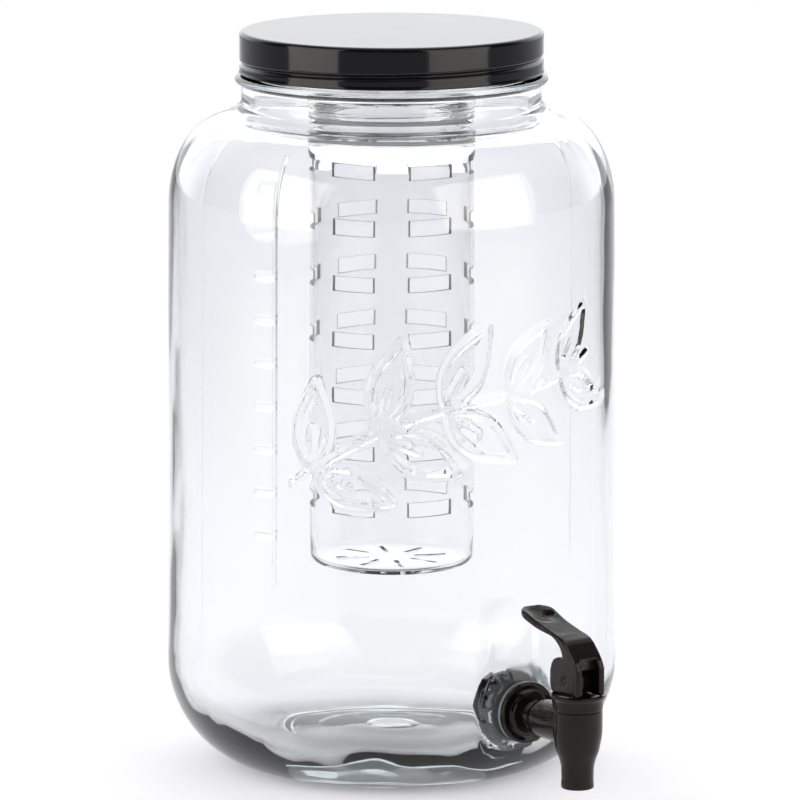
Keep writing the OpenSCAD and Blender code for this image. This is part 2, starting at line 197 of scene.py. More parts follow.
def soft_box(name, side, far, height, wide, tall, power, colour):
    """An upright area lamp, side degrees round from the camera, that faces the jar."""
    lamp = bpy.data.lights.new(name, "AREA")
    lamp.shape = "RECTANGLE"
    lamp.size, lamp.size_y = wide, tall
    lamp.energy = power
    lamp.color = colour
    box = bpy.data.objects.new(name, lamp)
    bpy.context.scene.collection.objects.link(box)
    heading = turn + math.radians(side)
    box.location = (math.sin(heading) * far, -math.cos(heading) * far, height)
    aim = math.atan2(height - 0.2, far)
    box.rotation_euler = (math.pi / 2 - aim, 0, heading)
    return box


soft_box("box_left", -61, 1.7, 0.72, 1.45, 1.35, 15, (1.0, 0.93, 0.87))
soft_box("box_right", 52, 1.7, 0.72, 1.7, 1.35, 15, (1.0, 0.93, 0.87))
soft_box("box_top", 170, 0.7, 2.3, 1.6, 1.6, 10, (1.0, 1.0, 1.0))

# ---- jar ----
# Thick clear glass, pressed in a two-part mould: straight body, deep round heel and
# shoulder, rolled bead, threaded finish, raised scale and sprig, and a flat tap boss.
MM = 0.001
jar_r = 112.2
draft = 2.0
wall = 5.0
floor_top = 11.0
heel_run, heel_h = 48.0, 54.0
shoulder_run, shoulder_h = 34.0, 46.0
neck_r, bead_r, mouth_r = 74.1, 77.3, 67.5
punt_r = 52.0
overall_h = 366.0
lid_r, lid_h, sheet = 75.0, 20.6, 0.8
lid_in_r = lid_r - sheet
lid_z = overall_h - lid_h
rim_z = overall_h - sheet - 1 - 2 - 1.5
crest_r = lid_in_r - 0.9
finish_r = crest_r - 1.8
bead_z = lid_z - 3
neck_z = bead_z - 15.1
shoulder_z = neck_z - shoulder_h
heel_r = jar_r - heel_run
top_r = jar_r - draft
shoulder_r = top_r - shoulder_run
lid_pitch, roll_start, roll_z = 6.4, -293.0, lid_z + 3.3
tap_z = 44.8
boss_r, boss_q, seat_q, hole_r = 19.5, jar_r + 3.3, jar_r - wall - 3.2, 8.7
scale_at, sprig_at = -154.0, -107.0
tick_levels = [130.9 + 21.1 * tick for tick in range(9)]


def arc(cx, cy, rx, ry, start, end, steps):
    """Points along part of an ellipse, in degrees."""
    return [
        (cx + rx * math.cos(math.radians(a)), cy + ry * math.sin(math.radians(a)))
        for a in np.linspace(start, end, steps + 1)
    ]


def line(start, end, step):
    """Points from start up to, but not at, end."""
    count = max(1, round(math.dist(start, end) / step))
    return [tuple(np.add(start, np.subtract(end, start) * n / count)) for n in range(count)]


def soft(value, low, high):
    t = np.clip((value - low) / (high - low), 0, 1)
    return t * t * (3 - 2 * t)


def face_out(mesh):
    """Turns a closed mesh's faces to point outwards."""
    work = bmesh.new()
    work.from_mesh(mesh)
    bmesh.ops.recalc_face_normals(work, faces=work.faces)
    work.to_mesh(mesh)
    work.free()


def finished(name, mesh, material, sharp=40):
    """Puts a mesh in the scene with outward faces, smooth but for edges over sharp degrees."""
    face_out(mesh)
    mesh.polygons.foreach_set("use_smooth", [True] * len(mesh.polygons))
    if sharp:
        mesh.set_sharp_from_angle(angle=math.radians(sharp))
    mesh.materials.clear()
    mesh.materials.append(material)
    piece = bpy.data.objects.new(name, mesh)
    bpy.context.scene.collection.objects.link(piece)
    return piece


def turned(outline, angles=None, shape=None):
    """A mesh turned from (radius, height) points in mm. An outline that doesn't start on
    the axis is a ring. shape moves the rows of radius and height by angle."""
    angles = np.arange(0, 360, 2.5) if angles is None else np.asarray(angles)
    ring = outline[0][0] > 1e-6
    body = np.array([p for p in outline if p[0] > 1e-6])
    r, z = np.repeat(body[:, :1], len(angles), 1), np.repeat(body[:, 1:], len(angles), 1)
    a = np.repeat(angles[None, :], len(body), 0)
    x, y = r * np.cos(np.radians(a)), r * np.sin(np.radians(a))
    if shape:
        x, y, z = shape(r, z, a)
    points = np.stack([x, y, z], -1).reshape(-1, 3)
    n, m = r.shape
    i, j = np.meshgrid(np.arange(n if ring else n - 1), np.arange(m), indexing="ij")
    up, side = (i + 1) % n, (j + 1) % m
    faces = np.stack([i * m + j, i * m + side, up * m + side, up * m + j], -1).reshape(-1, 4).tolist()
    if not ring:
        low, high = len(points), len(points) + 1
        points = np.vstack([points, [0, 0, outline[0][1]], [0, 0, outline[-1][1]]])
        faces += [(low, (k + 1) % m, k) for k in range(m)]
        faces += [(high, (n - 1) * m + k, (n - 1) * m + (k + 1) % m) for k in range(m)]
    mesh = bpy.data.meshes.new("turned")
    mesh.from_pydata((points * MM).tolist(), [], faces)
    return mesh


def applied(mesh, *modifiers):
    """The mesh after a run of modifiers, each given as its kind and its settings."""
    carrier = bpy.data.objects.new("carrier", mesh)
    bpy.context.scene.collection.objects.link(carrier)
    for kind, settings in modifiers:
        added = carrier.modifiers.new(kind.lower(), kind)
        for key, value in settings.items():
            setattr(added, key, value)
    bpy.context.view_layer.update()
    result = bpy.data.meshes.new_from_object(carrier.evaluated_get(bpy.context.evaluated_depsgraph_get()))
    bpy.data.objects.remove(carrier)
    return result


def joined(mesh, how, other):
    """Adds or cuts another solid mesh."""
    face_out(mesh)
    face_out(other)
    tool = bpy.data.objects.new("tool", other)
    bpy.context.scene.collection.objects.link(tool)
    result = applied(mesh, ("BOOLEAN", {"operation": how, "object": tool, "solver": "MANIFOLD"}))
    bpy.data.objects.remove(tool)
    return result


def outward(mesh):
    """Turns a mesh made along Z so that it points out along the tap's inlet."""
    co = np.zeros(len(mesh.vertices) * 3)
    mesh.vertices.foreach_get("co", co)
    x, y, z = co.reshape(-1, 3).T
    mesh.vertices.foreach_set("co", np.stack([x, -z, y + tap_z * MM], -1).ravel())
    return mesh


def strokes():
    """The sprig's lines as points, in mm across and up from its middle: one long stem
    with leaves in pairs, each leaf an outline with a vein."""
    t = np.linspace(0, 1, 90)
    stem = np.stack([-82 + 164 * t, -32 + 66 * t + 9 * np.sin(math.pi * t * 1.6)], 1)
    runs = [stem]
    for n, at in enumerate(np.linspace(0.06, 0.86, 5)):
        k = int(at * 89)
        base, along = stem[k], stem[min(k + 1, 89)] - stem[k - 1]
        along = along / np.linalg.norm(along)
        for hand in (-1, 1):
            lean = math.radians(hand * (52 - 3 * n))
            way = np.array([
                along[0] * math.cos(lean) - along[1] * math.sin(lean),
                along[0] * math.sin(lean) + along[1] * math.cos(lean),
            ])
            across = np.array([-way[1], way[0]])
            long = 44 - 3.0 * abs(n - 1.6)
            s = np.linspace(0, 1, 40)[:, None]
            half = long * 0.21 * np.sin(math.pi * s ** 0.8)
            foot = base + way * 4
            runs += [foot + way * long * s + across * half, foot + way * long * s - across * half]
            runs.append(foot + way * long * 0.72 * s[:24])
    return np.vstack(runs)


def relief(a, z):
    """How far the scale, the sprig and the mould's seams stand out of the wall, in mm."""
    u = np.radians(a - scale_at) * jar_r
    line_top = 315
    high = (1 - soft(np.abs(u), 0.6, 1.5)) * soft(z, 105, 107) * (1 - soft(z, line_top - 1, line_top + 1))
    for level in tick_levels:
        flat = (1 - soft(np.abs(z - level), 0.85, 2.1)) * soft(u, -12, -10.6) * (1 - soft(u, 0, 1))
        high = np.maximum(high, flat)
    high = high * 1.15
    u = np.radians(a - sprig_at) * jar_r
    v = z - 190
    near = (np.abs(u) < 98) & (np.abs(v) < 80)
    spots = np.stack([u[near], v[near]], 1)
    marks = strokes()
    gap = np.full(len(spots), 99.0)
    for first in range(0, len(marks), 60):
        d = np.linalg.norm(spots[:, None] - marks[None, first:first + 60], axis=2)
        gap = np.minimum(gap, d.min(1))
    raised = np.zeros_like(u)
    raised[near] = 1.25 * (1 - soft(gap, 0.9, 2.2))
    from_right, from_left = np.abs((a + 180) % 360 - 180), np.abs(a - 180)
    seam = np.maximum(1 - soft(from_right, 0.1, 0.8), 1 - soft(from_left, 0.1, 0.8))
    seam = 0.22 * seam * soft(z, 80, 100) * (1 - soft(z, shoulder_z + 30, shoulder_z + 44))
    return np.maximum.reduce([high, raised, seam])


def wall_rows():
    """The straight wall's points, set closer at each tick of the scale."""
    rows = np.concatenate([np.arange(heel_h + 1.6, 105, 3.5), np.arange(105, shoulder_z - 0.5, 1.75)])
    for level in tick_levels[:8]:
        rows = np.concatenate([rows[np.abs(rows - level) > 2.7], level + np.arange(-2.4, 2.41, 0.6)])
    rows = np.sort(rows[rows < shoulder_z - 0.2])
    slope = (top_r - jar_r) / (shoulder_z - heel_h)
    return [(jar_r + slope * (z - heel_h), z) for z in rows]


outer = (
    [(0, 5.5), (12, 5.4), (24, 5.2), (25.5, 4.2), (38, 3.9), (punt_r - 1.5, 3.4), (punt_r + 0.5, 2.4),
     (punt_r + 2, 0.9), (punt_r + 4, 0.1), (heel_r - 4, 0)]
    + arc(heel_r, heel_h, heel_run, heel_h, -90, 0, 42)
    + wall_rows()
    + arc(shoulder_r, shoulder_z, shoulder_run, shoulder_h, 0, 80, 26)
    + [(neck_r + 4.6, neck_z + 0.2), (neck_r + 2.7, neck_z + 0.9), (neck_r + 1.3, neck_z + 2),
       (neck_r + 0.4, neck_z + 3.6), (neck_r, neck_z + 5.6), (neck_r, bead_z - 4),
       (neck_r + 0.2, bead_z - 2.7)]
    + arc(bead_r - 2, bead_z, 2, 2, -70, 80, 8)
    + [(finish_r + 0.9, bead_z + 2.3)]
    + line((finish_r, bead_z + 3.2), (finish_r, rim_z - 1), 0.65)
    + arc(finish_r - 1, rim_z - 1, 1, 1, 0, 90, 3)
)
inner = (
    arc(mouth_r + 1, rim_z - 1, 1, 1, 90, 180, 3)
    + [(mouth_r, neck_z + 14), (mouth_r, neck_z + 4), (mouth_r + 0.5, neck_z + 0.6),
       (mouth_r + 2, neck_z - 2.2)]
    + arc(shoulder_r, shoulder_z, shoulder_run - wall, shoulder_h - wall, 84, 0, 14)
    + line((top_r - wall, shoulder_z - 12), (jar_r - wall, heel_h + 12), 14)
    + [(jar_r - wall, heel_h + 6)]
    + arc(heel_r, heel_h, heel_run - wall, heel_h - floor_top, 0, -90, 18)
    + [(punt_r, floor_top), (38, floor_top + 0.2), (26, floor_top + 0.4), (24, floor_top + 1),
       (0, floor_top + 1.4)]
)
columns = np.concatenate([
    np.arange(-162, -155.25, 0.5), np.arange(-155.25, -152.75, 0.25), np.arange(-152.75, -62, 0.6),
    np.arange(-62, -1.5, 3), np.arange(-1.2, 1.3, 0.4), np.arange(2.6, 177, 3),
    np.arange(178.8, 181.3, 0.4),
    np.arange(183, 197, 3),
])
outer_rows = len([p for p in outer if p[0] > 0])


def pressed(r, z, a):
    """The relief, the boss's flats and the slight waves that pressed glass has inside."""
    out = np.arange(len(r))[:, None] < outer_rows
    r = r + np.where(out, relief(a, z), 0)
    t = np.radians(a)
    wave = 0.30 * np.sin(3 * t + 1.1 + z / 60) + 0.22 * np.sin(5 * t - z / 45) + 0.12 * np.sin(11 * t + 0.4)
    r = r + np.where(out, 0, wave * soft(z, 12, 40) * (1 - soft(z, 300, 322)) * soft(r, 50, 90))
    x, y = r * np.cos(t), r * np.sin(t)
    pool = 0.8 * np.sin(x / 15 + 1 + y / 40) * np.sin(y / 12 - x / 50)
    pool = pool + 0.3 * np.sin(x / 7 - y / 19) * np.sin(y / 9 + 2)
    z = z + np.where(out, 0, pool * (1 - soft(z, 20, 60)) * soft(r, 6, 26))
    turns = (a - roll_start) % 360
    for k in range(2):
        way = turns + 360 * k
        level = roll_z + 2.1 + lid_pitch * way / 360
        ends = soft(way, 0, 14) * (1 - soft(way, 406, 420))
        r = r + np.where(out & (z > bead_z + 2.6), 1.8 * ends * (1 - soft(np.abs(z - level), 0.5, 1.5)), 0)
    x, y = r * np.cos(t), r * np.sin(t)
    gap = np.hypot(x, z - tap_z) + np.where(y > 0, 999, 0)
    flat = 1 - soft(gap, boss_r - 1.2, boss_r + 1.2)
    y = np.where(out, y + flat * (-boss_q - y), y)
    flat = (1 - soft(gap, boss_r - 1.6, boss_r + 2.5)) * (r > 60)
    y = np.where(out, y, y + flat * (-seat_q - y))
    return x, y, z


glass = new_material("clear_glass")
end = surface(
    Base_Color=(1, 1, 1, 1), Roughness=0.0, IOR=1.5, Transmission_Weight=1.0,
    Normal=bump(noise(22, 1.0) + 0.5 * noise(60, 0.0, (1, 1, 0.25)), 0.35, 0.0006),
)
depth = Socket.node("ShaderNodeVolumeAbsorption", Color=(0.79, 0.825, 0.83, 1), Density=48.0)
glass.node_tree.links.new(depth.outputs[0], end.inputs["Volume"])

jar_mesh = turned(outer + inner, columns, pressed)
drill = outward(turned(
    [(0, seat_q - 8), (hole_r, seat_q - 8), (hole_r, boss_q + 8), (0, boss_q + 8)],
    np.arange(0, 360, 6),
))
jar_mesh = joined(jar_mesh, "DIFFERENCE", drill)
jar = finished("jar_glass", jar_mesh, glass, 50)

# Round the tap hole the glass is thick and uneven, so it shows as a blue-grey ring.
thick = new_material("thick_glass")
surface(
    Base_Color=noise(90, 2.0).blend((0.42, 0.50, 0.54, 1), (0.56, 0.63, 0.66, 1)), Roughness=0.12, IOR=1.5,
    Transmission_Weight=0.85, Normal=bump(noise(70, 2.0), 0.3, 0.0006),
)
jar.data.materials.append(thick)
boss_edge, heel_side = boss_r + 1.4, 40
for face in jar.data.polygons:
    spot = face.center / MM
    outside = -seat_q if spot.z < heel_side else 1 - jar_r
    if spot.y < outside and math.hypot(spot.x, spot.z - tap_z) < boss_edge:
        face.material_index = 1
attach(jar, "dispenser")
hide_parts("jar")

# ---- lid ----
# One pressed sheet-steel cap in gloss black lacquer: flat top, rounded corner, a thread
# rolled into its wall that climbs to the right, and a curled lower edge.
roll_turn, roll_depth, roll_half = 433.0, 1.3, 1.7


def rolled(r, z, a):
    """Draws the wall in along the rolled thread."""
    turns = (a - roll_start) % 360
    drawn = np.zeros_like(r)
    for k in (-1, 0, 1):
        way = turns + 360 * k
        gap = np.clip(np.abs(z - roll_z - lid_pitch * way / 360) / roll_half, 0, 1)
        fade = np.clip(np.minimum(way / 25, (roll_turn - way) / 25), 0, 1)
        drawn = np.maximum(drawn, fade * np.cos(gap * math.pi / 2) ** 2)
    r = r - roll_depth * drawn * (r > lid_r - 3) * (z < overall_h - 2.6) * (z > lid_z + 0.9)
    t = np.radians(a)
    return r * np.cos(t), r * np.sin(t), z


lid_low, lid_high = lid_z + 1.2, overall_h - 3.0
lid_outline = (
    [(0, overall_h), (30, overall_h), (lid_r - 14, overall_h), (lid_r - 4, overall_h - 0.02)]
    + arc(lid_r - 1.9, overall_h - 1.9, 1.9, 1.9, 90, 0, 8)
    + line((lid_r, lid_high - 0.4), (lid_r, lid_low), 0.4)
    + [(lid_r + 0.1, lid_z + 1)] + arc(lid_r - 0.3, lid_z + 0.55, 0.55, 0.55, 20, -160, 8)
    + [(lid_in_r, lid_z + 1)]
    + line((lid_in_r, lid_low), (lid_in_r, lid_high), 0.5)
    + arc(lid_r - 1.9, overall_h - 1.9, 1.1, 1.1, 0, 90, 6)
    + [(lid_r - 14, overall_h - sheet), (30, overall_h - sheet), (0, overall_h - sheet)]
)
lacquer = new_material("black_lacquer")
rub = noise(38, 3.0).step(0.55, 0.8)
surface(
    Base_Color=rub.blend((0.0022, 0.0022, 0.0035, 1), (0.004, 0.004, 0.0055, 1)),
    Roughness=0.08 + 0.05 * noise(55, 3.0), IOR=1.43,
    Normal=bump(noise(420, 1.0), 0.04, 0.0002),
)
lid = finished("lid_cap", turned(lid_outline, np.arange(0, 360, 1.5), rolled), lacquer, 60)
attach(lid, "lid")
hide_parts("lid_shell")

# The liner is a disc of white foam sheet that is pressed up inside the cap, and the
# gasket is a flat ring of soft silicone that closes on the jar's rim.
liner_top = overall_h - sheet
liner_r = lid_in_r - 2
foam = new_material("white_foam")
cells = noise(900, 1.0)
surface(
    Base_Color=cells.blend((0.74, 0.74, 0.72, 1), (0.86, 0.86, 0.84, 1)), Roughness=0.75,
    Normal=bump(cells, 0.25, 0.0002),
)
liner = finished(
    "lid_liner_disc",
    turned([(0, liner_top - 1), (liner_r - 0.3, liner_top - 1), (liner_r, liner_top - 0.7),
        (liner_r, liner_top - 0.3),
            (liner_r - 0.3, liner_top), (0, liner_top)]),
    foam,
)
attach(liner, "lid_disc")
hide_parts("lid_liner")


def washer(bore, rim, low, high, round_by):
    """The outline of a flat ring with rounded edges."""
    return (
        arc(bore + round_by, low + round_by, round_by, round_by, 180, 270, 4)
        + arc(rim - round_by, low + round_by, round_by, round_by, 270, 360, 4)
        + arc(rim - round_by, high - round_by, round_by, round_by, 0, 90, 4)
        + arc(bore + round_by, high - round_by, round_by, round_by, 90, 180, 4)
    )


silicone = new_material("clear_silicone")
haze = noise(130, 2.0)
surface(
    Base_Color=haze.blend((0.60, 0.68, 0.70, 1), (0.74, 0.80, 0.82, 1)), Roughness=0.28 + 0.1 * haze,
    IOR=1.42, Transmission_Weight=0.6, Normal=bump(haze, 0.12, 0.0003),
)
gasket = finished(
    "lid_gasket_ring", turned(washer(mouth_r + 0.5, finish_r - 0.3, rim_z, rim_z + 1.5, 0.4)), silicone
)
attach(gasket, "lid_ring")
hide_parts("lid_gasket")

# ---- infuser holder ----
# A clear moulded plate under the cap with a short socket that carries the infuser's
# coarse thread.
socket_r, socket_wall, socket_z = 41.1, 2.2, 320.8
socket_in = socket_r - socket_wall
plate_low = overall_h - sheet - 1 - 2
plate_r = lid_in_r - 1.3
screw_pitch, screw_h, screw_fit = 5.0, 0.9, 0.4
screw_z, screw_rise = socket_z + 2.2, 1.55
screw_crest = socket_in - screw_fit
infuser_neck = screw_crest - screw_h
inner_crest = infuser_neck + screw_fit - 0.05


def threaded(depth, level_at, turns, low, high, outside):
    """A coarse thread on the part of a wall between two heights."""
    def shape(r, z, a):
        high_by = np.zeros_like(r)
        for k in range(3):
            way = a % 360 + 360 * k
            ends = soft(way, 0, 16) * (1 - soft(way, turns - 16, turns)) * (way <= turns)
            level = level_at + screw_pitch * way / 360
            high_by = np.maximum(high_by, ends * (1 - soft(np.abs(z - level), 0.4, 1.05)))
        on = (z > low) & (z < high) & outside(r)
        r = r + np.where(on, depth * high_by, 0)
        t = np.radians(a)
        return r * np.cos(t), r * np.sin(t), z
    return shape


clear = new_material("clear_plastic")
flow = noise(26, 1.0, (1, 1, 0.4))
surface(
    Base_Color=(0.985, 0.985, 0.99, 1), Roughness=0.025, IOR=1.41, Transmission_Weight=1.0,
    Normal=bump(flow, 0.3, 0.0006),
)
plate_outline = (
    [(0, plate_low + 2), (plate_r - 0.4, plate_low + 2), (plate_r, plate_low + 1.6),
        (plate_r, plate_low + 0.4),
     (plate_r - 0.4, plate_low), (socket_r + 2.4, plate_low), (socket_r + 1, plate_low - 0.4),
     (socket_r + 0.3, plate_low - 1.2), (socket_r, plate_low - 2.4)]
    + line((socket_r, plate_low - 4), (socket_r, socket_z + 0.6), 6)
    + [(socket_r, socket_z + 0.6), (socket_r - 0.5, socket_z), (socket_in + 0.5, socket_z),
       (socket_in, socket_z + 0.6)]
    + line((socket_in, socket_z + 1), (socket_in, socket_z + 12), 0.4)
    + [(socket_in, plate_low - 1), (socket_in - 1, plate_low), (0, plate_low)]
)
plate = finished(
    "infuser_holder",
    turned(plate_outline, np.arange(0, 360, 2),
           threaded(inner_crest - socket_in, screw_z, 360, socket_z + 0.9, socket_z + 11.9,
               lambda r: r < socket_in + 0.2)),
    clear, 50,
)
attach(plate, "lid")
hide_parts("lid_insert")

# ---- infuser ----
# A clear moulded tube that screws up into the holder against a soft ring. Rows of wide
# slots are cut through its wall, and its round-edged floor has a star of short slots.
infuser_r, infuser_wall, infuser_z = 39.4, 2.0, 100.3
slot_rows, slot_cols, row_pitch, slot_w, slot_h = 7, 6, 27.9, 23.0, 7.4
shoulder_at = socket_z - 4.0
infuser_outline = (
    [(0, infuser_z), (11.5, infuser_z), (28.5, infuser_z)]
    + arc(infuser_r - 4.5, infuser_z + 4.5, 4.5, 4.5, -90, 0, 8)
    + line((infuser_r, infuser_z + 8), (infuser_r + 1, shoulder_at - 20), 7)
    + [(infuser_r + 1, shoulder_at - 20), (socket_r - 0.8, shoulder_at - 12),
       (socket_r - 0.3, shoulder_at - 9),
       (socket_r - 0.3, shoulder_at - 1.2), (socket_r - 0.7, shoulder_at - 0.4),
       (socket_r - 1.4, shoulder_at),
       (infuser_neck + 0.3, shoulder_at), (infuser_neck, shoulder_at + 0.3)]
    + line((infuser_neck, shoulder_at + 3), (infuser_neck, shoulder_at + 17.4), 0.4)
    + [(infuser_neck - 0.6, shoulder_at + 18), (infuser_neck - 1.6, shoulder_at + 18),
       (infuser_neck - 2, shoulder_at + 17.5),
       (infuser_neck - 2, shoulder_at - 5), (infuser_r + 1 - infuser_wall, shoulder_at - 16)]
    + line(
        (infuser_r - infuser_wall + 0.95, shoulder_at - 24), (infuser_r - infuser_wall, infuser_z + 8), 7
    )
    + arc(infuser_r - infuser_wall - 2.6, infuser_z + 5, 2.6, 2.6, 0, -90, 6)
    + [(28, infuser_z + 2.4), (12, infuser_z + 2.4), (0, infuser_z + 2.4)]
)
tube_mesh = turned(
    infuser_outline, np.arange(0, 360, 2),
    threaded(screw_h, screw_z + screw_rise, 540, shoulder_at + 2, shoulder_at + 17.5,
        lambda r: r > infuser_neck - 0.3),
)


def sized(tree, name, kind, value):
    made = tree.interface.new_socket(name=name, in_out="INPUT", socket_type=kind)
    if value is not None:
        made.default_value = value
    return made.identifier


def grown(mesh, tree, keys):
    """What a node group makes of a mesh, with its named inputs set."""
    carrier = bpy.data.objects.new("carrier", mesh)
    bpy.context.scene.collection.objects.link(carrier)
    added = carrier.modifiers.new(tree.name, "NODES")
    added.node_group = tree
    for key, value in keys.values():
        added[key] = value
    bpy.context.view_layer.update()
    result = bpy.data.meshes.new_from_object(carrier.evaluated_get(bpy.context.evaluated_depsgraph_get()))
    bpy.data.objects.remove(carrier)
    return result


def slotted(mesh, material):
    """Cuts the rows of wall slots and the star in the floor."""
    tree = bpy.data.node_groups.new("slots", "GeometryNodeTree")
    add, join = tree.nodes.new, tree.links.new
    sized(tree, "Tube", "NodeSocketGeometry", None)
    sizes = {
        "Rows": ("NodeSocketInt", slot_rows), "Columns": ("NodeSocketInt", slot_cols),
        "Pitch": ("NodeSocketFloat", row_pitch * MM), "Width": ("NodeSocketFloat", slot_w * MM),
        "Height": ("NodeSocketFloat", slot_h * MM),
        "First row": ("NodeSocketFloat", (infuser_z + 32.9) * MM),
        "Floor slots": ("NodeSocketInt", 8), "Turn": ("NodeSocketFloat", math.radians(26.5)),
    }
    keys = {name: (sized(tree, name, kind, value), value) for name, (kind, value) in sizes.items()}
    tree.interface.new_socket(name="Tube", in_out="OUTPUT", socket_type="NodeSocketGeometry")
    given, done = add("NodeGroupInput"), add("NodeGroupOutput")

    def xyz(**parts):
        made = add("ShaderNodeCombineXYZ")
        for axis, value in parts.items():
            if isinstance(value, float):
                made.inputs[axis].default_value = value
            else:
                join(value, made.inputs[axis])
        return made.outputs[0]

    def ring_of(count, cutter, first):
        """Copies of a cutter turned evenly round the tube."""
        dots, index = add("GeometryNodePoints"), add("GeometryNodeInputIndex")
        join(count, dots.inputs["Count"])
        share, angle = add("ShaderNodeMath"), add("ShaderNodeMath")
        share.operation, angle.operation = "DIVIDE", "MULTIPLY_ADD"
        share.inputs[0].default_value = math.tau
        join(count, share.inputs[1])
        join(index.outputs[0], angle.inputs[0])
        join(share.outputs[0], angle.inputs[1])
        join(first, angle.inputs[2])
        copies = add("GeometryNodeInstanceOnPoints")
        join(dots.outputs[0], copies.inputs["Points"])
        join(cutter, copies.inputs["Instance"])
        join(xyz(Z=angle.outputs[0]), copies.inputs["Rotation"])
        return copies.outputs[0]

    wall_cut, rows = add("GeometryNodeMeshCube"), add("GeometryNodeMeshLine")
    stack = add("GeometryNodeInstanceOnPoints")
    join(xyz(X=16 * MM, Y=given.outputs["Width"], Z=given.outputs["Height"]), wall_cut.inputs["Size"])
    join(given.outputs["Rows"], rows.inputs["Count"])
    join(xyz(X=(infuser_r - 1) * MM, Z=given.outputs["First row"]), rows.inputs["Start Location"])
    join(xyz(Z=given.outputs["Pitch"]), rows.inputs["Offset"])
    join(rows.outputs[0], stack.inputs["Points"])
    join(wall_cut.outputs[0], stack.inputs["Instance"])
    floor_cut, spot = add("GeometryNodeMeshCube"), add("GeometryNodeTransform")
    floor_cut.inputs["Size"].default_value = (16 * MM, 2.2 * MM, 6 * MM)
    join(floor_cut.outputs[0], spot.inputs["Geometry"])
    spot.inputs["Translation"].default_value = (20 * MM, 0, (infuser_z + 1.2) * MM)
    half = add("ShaderNodeValue")
    half.outputs[0].default_value = math.radians(22.5)
    both, real = add("GeometryNodeJoinGeometry"), add("GeometryNodeRealizeInstances")
    cut = add("GeometryNodeMeshBoolean")
    join(ring_of(given.outputs["Columns"], stack.outputs[0], given.outputs["Turn"]), both.inputs[0])
    join(ring_of(given.outputs["Floor slots"], spot.outputs[0], half.outputs[0]), both.inputs[0])
    join(both.outputs[0], real.inputs[0])
    cut.operation = "DIFFERENCE"
    cut.solver = "EXACT"
    join(given.outputs["Tube"], cut.inputs["Mesh 1"])
    join(real.outputs[0], cut.inputs["Mesh 2"])
    last, coat = add("GeometryNodeRealizeInstances"), add("GeometryNodeSetMaterial")
    join(cut.outputs[0], last.inputs[0])
    join(last.outputs[0], coat.inputs[0])
    coat.inputs["Material"].default_value = material
    join(coat.outputs[0], done.inputs[0])
    return grown(mesh, tree, keys)


face_out(tube_mesh)
tube = finished("infuser_tube", slotted(tube_mesh, clear), clear, 40)
# Painted shade: the slot walls get a grey material with a rougher, part-clear finish, and the grey stands
# in for the dark look of the cut edges through the wall's thickness.
slot_shade = new_material("slot_wall_painted_shade")
slot_wall_mottle = noise(300, 2.0)
surface(
    Base_Color=slot_wall_mottle.blend((0.42, 0.43, 0.45, 1), (0.55, 0.56, 0.58, 1)), Roughness=0.45, IOR=1.46,
    Transmission_Weight=0.55, Normal=bump(slot_wall_mottle, 0.2, 0.0002),
)
tube.data.materials.append(slot_shade)
for face in tube.data.polygons:
    spot, way = face.center, face.normal
    across = math.hypot(spot.x, spot.y)
    if infuser_z + 12 < spot.z / MM < shoulder_at - 6:
        facing = abs(spot.x * way.x + spot.y * way.y) / max(across, 1e-9)
        if facing < 0.6:
            face.material_index = 1
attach(tube, "basket")
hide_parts("infuser")

seal_r = 1.7
seal = finished(
    "infuser_ring",
    turned(arc(infuser_neck + 0.35 + seal_r, socket_z - 0.3 - seal_r, seal_r, seal_r, 0, 345, 23),
        np.arange(0, 360, 2.5)),
    silicone, 0,
)
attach(seal, "infuser_ring")
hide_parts("infuser_seal")

# ---- tap body ----
# One moulding in semi-gloss black plastic: threaded shank, dished flange, stepped inlet
# tube and an upright barrel that tapers to the outlet.
barrel_q, barrel_r, rim_r, outlet_r = jar_r + 49.6, 12.0, 13.6, 8.0
flange_r, shank_r = 15.2, 7.9
flange_q = boss_q + 2
nut_q = seat_q - 2.4 - 1.2
shank_end = nut_q - 13
seam_z = tap_z + 9.5
bonnet_z = seam_z + 7.8
spout_z = tap_z - 28.9
seat_z = tap_z - 5.6
chamber_r, way_r = barrel_r - 3.1, 5.0


def smooth_run(points, steps=5):
    """A smooth line through points, with steps between each two."""
    spots = np.array([points[0], *points, points[-1]], float)
    made = []
    for k in range(1, len(spots) - 2):
        a, b, c, d = spots[k - 1:k + 3]
        for t in np.arange(steps) / steps:
            square, cube = 2 * a - 5 * b + 4 * c - d, 3 * b - a - 3 * c + d
            made.append(tuple(0.5 * (2 * b + (c - a) * t + square * t ** 2 + cube * t ** 3)))
    return made + [tuple(spots[-1])]


def at_barrel(mesh):
    """Moves a mesh that was made round Z to the barrel's axis."""
    for vertex in mesh.vertices:
        vertex.co.y -= barrel_q * MM
    return mesh


plastic = new_material("tap_plastic")
grain, mottle = noise(700, 2.0), noise(60, 3.0)
surface(
    Base_Color=mottle.blend((0.0032, 0.0026, 0.0024, 1), (0.006, 0.005, 0.0046, 1)),
    Roughness=0.10 + 0.07 * mottle,
    IOR=1.37, Specular_Tint=(1.0, 0.86, 0.77, 1),
    Normal=bump(grain + 0.4 * mottle, 0.02, 0.0002),
)
fine = np.arange(0, 360, 3.75)
barrel = at_barrel(turned(
    [(0, spout_z), (outlet_r - 0.8, spout_z)] + arc(outlet_r - 0.8, spout_z + 0.8, 0.8, 0.8, -90, 0, 4)
    + smooth_run([
        (outlet_r - 0.1, spout_z + 3), (outlet_r - 0.2, spout_z + 5), (outlet_r, spout_z + 10.4),
        (outlet_r + 0.8, spout_z + 14), (outlet_r + 2.3, spout_z + 18.2), (barrel_r - 0.9, spout_z + 22),
        (barrel_r - 0.2, spout_z + 26), (barrel_r, spout_z + 30), (barrel_r, seam_z - 0.35)])
    + [(barrel_r - 0.3, seam_z), (0, seam_z)], fine))
